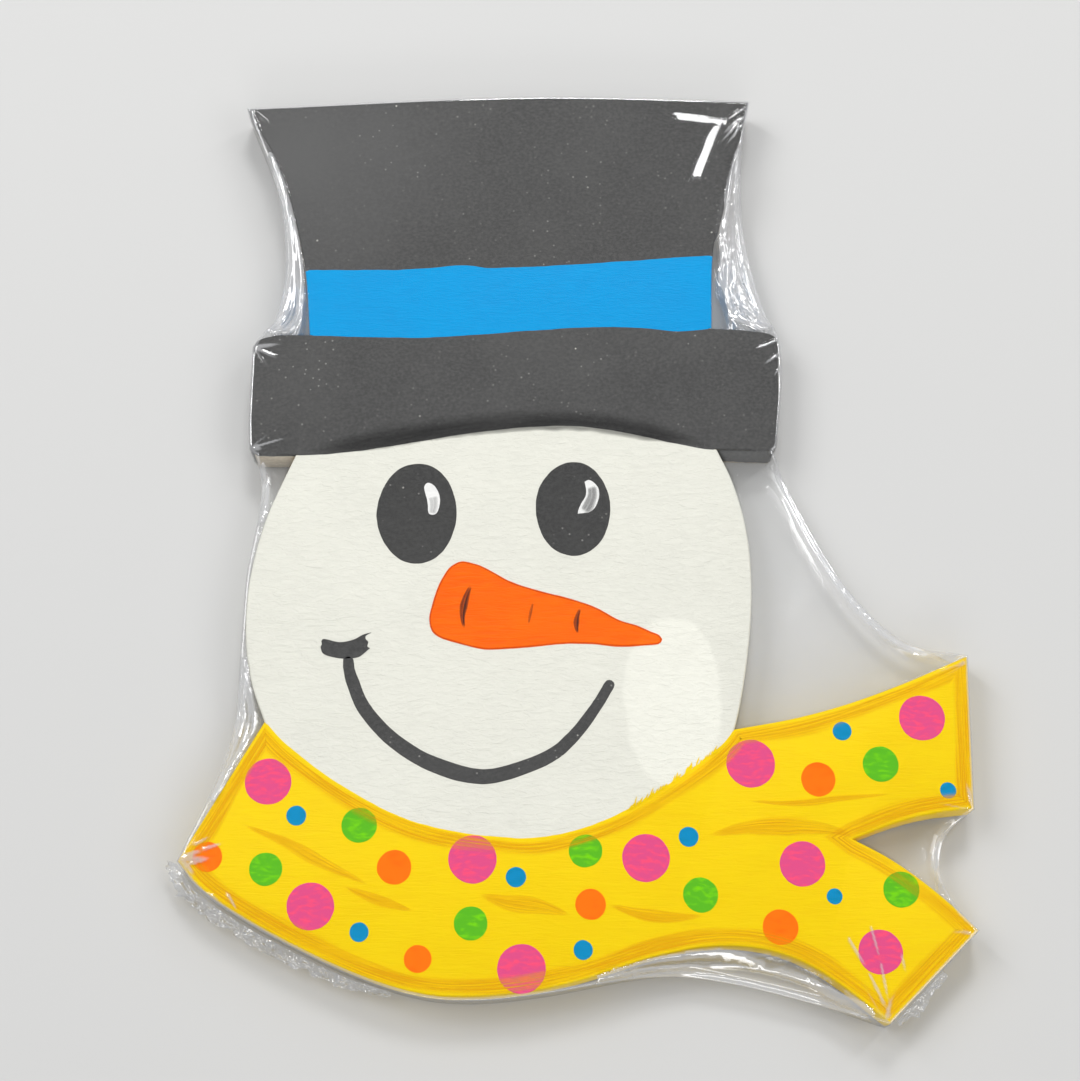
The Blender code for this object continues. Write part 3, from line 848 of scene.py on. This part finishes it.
# The film in each hollow: a place near its middle, number of strands, their height and width in mm, how far
# they wander, how broken they are, and the height of the crumples between them
HOLLOWS = (
    ((56.7, 99.2), 10, (0.35, 0.8), (0.6, 1.0), 0.16, 0.15, 0.22),
    ((-96.1, 98.8), 5, (0.3, 0.6), (0.6, 0.9), 0.07, 0.0, 0.04),
    ((-100.3, 11.8), 3, (0.2, 0.4), (0.5, 0.8), 0.08, 0.1, 0.05),
    ((-106.2, -64.7), 5, (0.3, 0.6), (0.5, 0.8), 0.08, 0.1, 0.05),
    ((45.8, -140.7), 8, (0.15, 0.32), (0.6, 0.9), 0.06, 0.1, 0.04),
    ((109.3, -101.8), 0, (0, 0), (1, 1), 0, 0, 0),
    ((83.4, -16.4), 0, (0, 0), (1, 1), 0, 0, 0),
)
# The strongest strands beside the hat: share of the gap at foot and head, height and width in mm
LONG_STRANDS = ((0.95, 0.06, 1.0, 0.9), (0.86, 0.84, 0.9, 0.8), (0.5, 0.72, 0.8, 0.7), (0.3, 0.2, 0.8, 0.7))
# The ridge beside the film's rolled edge: distance in from the edge, height and width in mm
SECOND_RIDGE = (2.2, 0.5, 0.8)
# Share of light mirrored straight on: over the board flat, in a tilted patch and in a crease, over a hollow
# slack and in a fold or rolled edge, and where the film bends over the board's edge
FLAT_SHEEN, PATCH_SHEEN, CREASE_SHEEN = 0.01, 0.06, 0.22
SLACK_SHEEN, FOLD_SHEEN, BEND_SHEEN = 0.0015, 0.26, 0.13


def hugging(p):
    """1 where the film's edge lies against the board, and 0 where it spans a hollow."""
    return 1 - smoothstep(0.9 * MM, 9 * MM, from_board_edge(p))


def inside(x, row):
    return sum(c < x for c in row) % 2 == 1


def outward_corners(loop, least=math.radians(28), reach=4):
    """The sharp outward corners of a loop, each with the direction inward."""
    found = []
    outs = normals(loop)
    for i, b in enumerate(loop):
        before, after = b - loop[i - reach], loop[(i + reach) % len(loop)] - b
        sharp = before.cross(after) > 0 and abs(before.angle_signed(after, 0.0)) > least
        if sharp and (not found or (found[-1][0] - b).length > 8 * MM):
            found.append((b, -outs[i].normalized()))
    return found


def all_creases():
    """Fans of creases at corners, then single ones: start, direction, length, width and height."""
    chance = random.Random(11)
    creases = []
    for corner, inward in outward_corners(FILM_LOOP):
        for _ in range(6):
            ahead = inward.copy()
            ahead.rotate(Matrix.Rotation(chance.uniform(-0.75, 0.75), 2))
            sizes = [chance.uniform(*limits) * MM for limits in ((5, 18), (0.4, 0.6), (0.08, 0.26))]
            creases.append((corner, ahead, *sizes))
    for points, width, height in CREASES:
        for a, b in zip(points, points[1:]):
            run = (Vector(b) - Vector(a)) * MM
            creases.append((Vector(a) * MM, run.normalized(), run.length * 1.3, width * MM, height * MM))
    return creases


def crease_height(p, creases):
    total = 0.0
    for start, ahead, length, width, height in creases:
        to = p - start
        run = to.dot(ahead)
        away = abs(to.cross(ahead))
        if 0 < run < length and away < 3 * width:
            fade = smoothstep(0, 2.5 * MM, run) * (1 - smoothstep(0.4 * length, length, run))
            total += height * fade * bell(away, width)
    return total


def tilted_height(p):
    best = 0.0
    side = 0.45 * MM
    for foot, head, width, fall_along, fall_across in TILTED:
        foot, head = Vector(foot) * MM, Vector(head) * MM
        length = (head - foot).length
        ahead = (head - foot) / length
        to = p - foot
        run, left = to.dot(ahead), ahead.cross(to)
        torn = 2.4 * MM * noisy(left * 1500, 0.5, foot.x * 90)
        full = width * MM * (0.75 + 0.25 * smoothstep(1.0, 0.5, run / length))
        full += 0.35 * MM * noisy(run * 700, 2.5, 0)
        height = fall_along * max(length - run, 0.0) + fall_across * max(1.3 * width * MM - left, 0.0)
        within = smoothstep(-side, 0, left) * smoothstep(full + side, full, left)
        within *= smoothstep(torn - side, torn, run) * smoothstep(length + side, length, run)
        best = max(best, height * within)
    return best


def hollows():
    """Each stretch of the film's edge over a hollow: its ends, look, strands, and board stretch."""
    count = len(FILM_LOOP)
    free = [hugging(p) < 0.9 for p in FILM_LOOP]
    found = []
    for start in range(count):
        if not free[start] or free[start - 1]:
            continue
        end = start
        while free[(end + 1) % count]:
            end += 1
        middle = FILM_LOOP[(start + end) // 2 % count]
        look = min(HOLLOWS, key=lambda row: (Vector(row[0]) * MM - middle).length)
        _, number, height, width, *_ = look
        chance = random.Random(start)
        limits = ((0.02, 0.98), (0.02, 0.98), [h * MM for h in height], [w * MM for w in width], (0, 90))
        strands = [[chance.uniform(*pair) for pair in limits] for _ in range(number)]
        if look in HOLLOWS[:2]:
            strands += [(a, b, h * MM, w * MM, 7.0 * a) for a, b, h, w in LONG_STRANDS]
        first, last = (nearest(BOARD_TREE, FILM_LOOP[i % count])[0] for i in (start, end))
        found.append((start, end, look, strands, first, (last - first) % len(BOARD_LOOP)))
    return found


def share_of_edge(index, spans):
    """How far along its hollow this point of the film's edge is."""
    return max(((index - a) / (b - a) for a, b, *_ in spans if a <= index <= b), default=0.0)


def share_of_board(index, spans):
    """How far along its hollow this point of the board's edge is."""
    shares = [(index - first) % len(BOARD_LOOP) / steps for *_, first, steps in spans]
    return ([share for share in shares if share <= 1] or [0.0])[-1]


def strand_height(share, gap, along, look, strands):
    """Height of a hollow's creases, which run along its whole length."""
    *_, wander, broken, crumple = look
    total = 0.0
    for first, last, height, width, seed in strands:
        place = first + (last - first) * along + wander * noisy(along * 6, seed, 0)
        away = abs(share - place) * gap
        if away < 3 * width:
            strength = smoothstep(broken - 0.25, broken + 0.1, 0.5 + noisy(along * 14, seed, 5))
            total += min(height, 0.45 * gap) * strength * bell(away, width)
    across = share * gap / MM
    rough = noisy(across / 1.3, along * 6, 4) + 0.6 * noisy(across / 0.8, along * 16, 9)
    total += crumple * MM * (1 - 2 * abs(rough))
    return total * min(1.0, 10 * share, 10 * (1 - share))


# Places where the film is creased, and how far round each one its points lie closer
CREASED = [(corner, 20 * MM) for corner, _ in outward_corners(FILM_LOOP)]
CREASED += [(Vector(q) * MM, 6 * MM) for points, _, _ in CREASES for q in points]


def film_pitch(p, over, to_edge):
    """Spacing of the film's points in mm, finer where it is creased."""
    if not over:
        return 0.5 if p.y > 66 * MM or to_edge < 6 * MM else 1.0
    if (p - TILTED_MIDDLE).length < 20 * MM:
        return 0.4
    return 0.6 if any((p - q).length < reach for q, reach in CREASED) else 3.0


def film_grid(pitch_mm):
    """The points with this pitch, and "board" or "free" for what is below."""
    pitch = pitch_mm * MM
    rise = pitch * 0.866
    (left, right), (low, high) = span_of(FILM_LOOP, 0), span_of(FILM_LOOP, 1)
    for r in range(int((high - low) / rise) + 1):
        y = low + (r + 0.37) * rise
        film_row, board_row = crossings(FILM_LOOP, y), crossings(BOARD_LOOP, y)
        for c in range(int((right - left) / pitch) + 2):
            p = Vector((left + (c + 0.5 * (r % 2)) * pitch, y))
            to_edge = nearest(FILM_TREE, p)[1]
            if not inside(p.x, film_row) or to_edge <= BEND + 0.45 * pitch:
                continue
            over = inside(p.x, board_row)
            if film_pitch(p, over, to_edge) == pitch_mm and (over or from_board_edge(p) > 0.5 * pitch):
                yield p, "board" if over else "free"


def film_points():
    """The points of the film's sheets: grids, and rings along the board's edge and the film's."""
    found = [spot for pitch in (0.5, 1.0, 0.4, 0.6, 3.0) for spot in film_grid(pitch)]
    for inset in (-0.1, 0.2, 0.7):
        ring = offset(BOARD_LOOP, -inset * MM)
        found += [(p, "board") for p in ring if nearest(FILM_TREE, p)[1] > BEND + (0.5 + inset) * MM]
    for inset in (0.3, 0.9):
        ring = offset(FILM_LOOP, -BEND - inset * MM)
        found += [(p, "board") for p, edge in zip(ring, FILM_LOOP) if hugging(edge) > 0.98]
    return found


def relax(values, loose, edges, rounds):
    """Draws the loose values to the mean of their neighbours."""
    edges = edges[loose[edges].any(axis=1)]
    count = len(values)
    neighbours = np.maximum(np.bincount(edges.ravel(), minlength=count), 1)
    for _ in range(rounds):
        for column in values.T:
            total = np.bincount(edges[:, 0], weights=column[edges[:, 1]], minlength=count)
            total += np.bincount(edges[:, 1], weights=column[edges[:, 0]], minlength=count)
            column[loose] = (total / neighbours)[loose]


def settled(verts, kinds, edges, spans):
    """For each point: height over the film's middle, share across and along its hollow, and width."""
    start = []
    for p, kind in zip(verts, kinds):
        index, to_edge = nearest(FILM_TREE, p)
        board_index, to_board = nearest(BOARD_TREE, p)
        valley = BEAD * 0.35 + (FILM_HALF - BEAD * 0.35) * hugging(FILM_LOOP[index])
        if kind == "board":
            start.append((FILM_HALF, 0.0, share_of_board(board_index, spans), to_edge))
        elif kind == "rim":
            start.append((valley, 1.0, share_of_edge(index, spans), to_board))
        else:
            share = to_board / (to_board + to_edge)
            rise = FILM_HALF + (valley - FILM_HALF) * share
            start.append((rise, share, share_of_edge(index, spans), to_board + to_edge))
    values, edges = np.array(start), np.array(edges)
    loose = np.array([kind == "free" for kind in kinds])
    relax(values[:, :3], loose, edges, 700)
    relax(values[:, 3:], loose, edges, 60)
    return values


def edge_sheen(p, against_wall=False):
    """Sheen at the film's edge, where it bends over the board, is rolled, or is flat on the wall."""
    least = FLAT_SHEEN if against_wall else BEND_SHEEN
    return FOLD_SHEEN + (least - FOLD_SHEEN) * hugging(p)


def film_over_board(p, creases, sign):
    """Height and sheen of the front (sign 1) or back (sign -1) sheet over the board."""
    if sign < 0:
        return FILM_REST, FLAT_SHEEN
    ripple = abs(0.03 * MM * noisy(p.x * 120, p.y * 120, 2))
    patch = tilted_height(p)
    if patch:
        return FILM_FACE + ripple + patch, PATCH_SHEEN
    lift = crease_height(p, creases)
    sheen = FLAT_SHEEN + (CREASE_SHEEN - FLAT_SHEEN) * smoothstep(0.06 * MM, 0.4 * MM, lift)
    return FILM_FACE + ripple + lift, sheen


def film_over_hollow(p, field, spans, sign):
    """Height and sheen of the front (sign 1) or back (sign -1) sheet over a hollow."""
    rise, share, along, gap = field
    index, to_edge = nearest(FILM_TREE, p)
    loose_edge = 1 - hugging(FILM_LOOP[index])
    bead = BEAD * 0.65 * loose_edge * bell(to_edge, 0.9 * MM)
    depth, height, width = SECOND_RIDGE
    swing = 0.3 * MM * noisy(p.x * 60, p.y * 60, 3)
    ridge = height * MM * loose_edge * bell(to_edge - depth * MM + swing, width * MM)
    folds = 0.0
    for start, end, look, strands, *_ in spans:
        if start <= index <= end:
            folds = strand_height(share, gap, along, look, strands)
    rolled = loose_edge * bell(to_edge, 3 * MM)
    sheen = SLACK_SHEEN + (FOLD_SHEEN - SLACK_SHEEN) * max(rolled, smoothstep(0.1 * MM, 0.6 * MM, folds))
    return max(FILM_MID + sign * (rise + bead) + (ridge + 0.7 * folds), FILM_REST), sheen


def make_film(material):
    """The closed bag of film: a front and a back sheet joined by a bend round their rim."""
    creases, spans = all_creases(), hollows()
    outs = [n.normalized() for n in normals(FILM_LOOP)]
    halves = [BEAD + (FILM_HALF - BEAD) * hugging(p) for p in FILM_LOOP]
    bends = [min(BEND, h) for h in halves]
    rims = [p - n * r for p, n, r in zip(FILM_LOOP, outs, bends)]
    count = len(rims)
    inner = film_points()
    spots = rims + [p for p, _ in inner]
    verts, edges, tris, sources, _, _ = geometry.delaunay_2d_cdt(spots, [], [list(range(count))], 1, 1e-6)
    firsts = [source[0] if source else nearest(FILM_TREE, p)[0] for p, source in zip(verts, sources)]
    kinds = ["rim" if first < count else inner[first - count][1] for first in firsts]
    fields = settled(verts, kinds, edges, spans)

    points, sheens = [], []
    for sign in (1, -1):
        for p, kind, first, field in zip(verts, kinds, firsts, fields):
            if kind == "rim":
                z, sheen = FILM_MID + sign * halves[first], edge_sheen(FILM_LOOP[first])
            elif kind == "board":
                z, sheen = film_over_board(p, creases, sign)
            else:
                z, sheen = film_over_hollow(p, field, spans, sign)
            points.append(Vector((p.x, p.y, z)))
            sheens.append(sheen)
    faces = []
    for tri in tris:
        a, b, c = (verts[i] for i in tri)
        tri = list(tri) if (b - a).cross(c - a) > 0 else list(tri)[::-1]
        faces.append(tri)
        faces.append([len(verts) + i for i in reversed(tri)])
    at_rim = {i: v for v, source in enumerate(sources) for i in source if i < count}
    rings = [[at_rim[i] for i in range(count)]]
    for angle, side in ((30, 1), (60, 1), (90, 1), (90, -1), (60, -1), (30, -1)):
        out, drop = math.sin(math.radians(angle)), 1 - math.cos(math.radians(angle))
        rings.append(range(len(points), len(points) + count))
        for p, n, h, r in zip(FILM_LOOP, outs, halves, bends):
            q = p - n * r * (1 - out)
            points.append(Vector((q.x, q.y, FILM_MID + side * (h - drop * r))))
            sheens.append(edge_sheen(p, angle == 90))
    rings.append([len(verts) + v for v in rings[0]])
    for pair in zip(rings, rings[1:]):
        faces += joined(*pair)
    obj = mesh_piece("shrink_film_bag", points, faces)
    sheets = [1.0 if kind == "board" else 0.0 for kind in kinds] * 2
    mark(obj, "over_board", sheets + [0.0] * (len(points) - len(sheets)))
    mark(obj, "sheen", sheens)
    finish_piece(obj, material, "shrink_film", "film_front", "film_back")


# ---------------- shrink film: its surface

# Where the film clings to the face: centre and half axes of the patch, in mm
CLING = ((29.0, -55.8), (15.0, 27.0))


def film_surface(look, sheen, haze, tint, milk):
    """Clear film that mirrors a share of the light, and more at a slant."""
    look.tree.nodes.remove(look.shader)
    facing = look.add("LayerWeight", {"Blend": 0.5}, "Facing")
    slant = look.add("Math", {0: facing, 1: 4.0}, operation="POWER")
    mirrored = look.sum(look.ramp(slant, 0.0, 1.0, 0.0, 0.7), sheen)
    clear = look.add("BsdfTransparent", {"Color": tint})
    cloudy = look.add("BsdfDiffuse", {"Color": milk})
    gloss = look.add("BsdfAnisotropic", {"Roughness": 0.06})
    body = look.add("MixShader", {0: haze, 1: clear, 2: cloudy})
    surface = look.add("MixShader", {0: mirrored, 1: body, 2: gloss})
    look.feed(look.tree.nodes["Material Output"], {"Surface": surface})
    return look.material


def bag_film():
    """Film that dims the board except where it clings, and is whiter in creases, folds and bends: partly the
    film's stress whitening, partly painted highlight.
    """
    look = Look("clear_shrink_film", (0.8,) * 3, 0.1)
    over, sheen = look.stored("over_board"), look.stored("sheen")
    ragged = look.ramp(look.noise((90, 60, 90), 2.0), 0.3, 0.7, -0.06, 0.06)
    outside = look.ramp(look.sum(look.oval(*CLING), ragged), 0.96, 1.03)
    lying = look.mix(outside, (1.0,) * 3, (0.952,) * 3)
    tint = look.mix(over, (0.98,) * 3, lying)
    # Milky film over the hollows, and white where the sheen is high: partly stress whitening, partly a
    # painted highlight along creases, folds and the bend over the board's edge
    haze = look.sum(look.ramp(over, 0.0, 1.0, 0.07, 0.0), look.ramp(sheen, 0.05, 0.2, 0.0, 0.32))
    return film_surface(look, sheen, haze, tint, (0.80, 0.81, 0.83))


def crumpled_film():
    """The bright, cloudy film outside the heat seal."""
    look = Look("crumpled_shrink_film", (0.8,) * 3, 0.1)
    haze = look.ramp(look.noise((300, 300, 300), 4.0), 0.3, 0.7, 0.15, 0.45)
    return film_surface(look, 0.22, haze, (0.94,) * 3, (0.62, 0.65, 0.72))


# ---------------- film seams


def sides_of_strip(loop):
    """A strip's two long sides, running the same way, the one nearer to the board first."""
    first, second = sorted(stretches(loop), key=length_of, reverse=True)[:2]
    sides = (first, second[::-1])
    return sorted(sides, key=lambda side: sum(from_board_edge(p) for p in side) / len(side))


def walk(path, share):
    """The point this share of the way along a path."""
    left = share * length_of(path)
    for a, b in zip(path, path[1:]):
        length = (b - a).length
        if left <= length:
            return a.lerp(b, left / max(length, 1e-9))
        left -= length
    return path[-1].copy()


def ridge(q):
    """1 along the lines where the noise changes sign, and less beside them."""
    return 1 - 2.4 * abs(noise.noise(q))


def make_seam(name, cad_node, material, seed, depth):
    """The crumpled strip of film outside the heat seal, with a ragged outer edge."""
    first, second = sides_of_strip(rim(cad_node))
    pitch, rows = 0.35, 25
    steps = int(length_of(first) / (pitch * MM))
    points = []
    for i in range(steps + 1):
        near, far = walk(first, i / steps), walk(second, i / steps)
        torn = 1 + 0.28 * noisy(i * pitch / 5, seed, 0) + 0.16 * noisy(i * pitch / 1.4, seed, 3)
        for r in range(rows):
            t = r / (rows - 1)
            p = near.lerp(far, t * (0.75 + 0.25 * torn) * min(torn, 1.12))
            q = Vector((p.x * 300, p.y * 300, seed))
            sway = (noise.noise_vector(q) * 0.5 + noise.noise_vector(q * 2.7) * 0.3) * 1.2 * MM * t
            ridges = ridge(q * 1.1) + 0.7 * ridge(q * 2.6) + 0.3 * ridge(q * 5.0)
            z = FILM_MID * (1 - 0.45 * t) + depth * ridges * (0.3 + 0.7 * t)
            points.append(Vector((p.x + sway.x, p.y + sway.y, max(z, 0.3 * MM))))
    finish_piece(mesh_piece(name, points, quads(steps, rows)), material, "shrink_film", cad_node)


for make in (make_floor, make_lights, make_camera, make_board, make_coats, make_dots, make_eyes, make_nose):
    make()
for make in (make_mouth, make_nose_edge, make_nose_strokes, make_glint_shades, make_brim_shade, make_glaze):
    make()
make_fringe()
make_film(bag_film())
crumpled = crumpled_film()
make_seam("seam_crumple_left", "film_seam_left", crumpled, 3.0, 1.3 * MM)
make_seam("seam_crumple_right", "film_seam_right", crumpled, 8.0, 1.0 * MM)
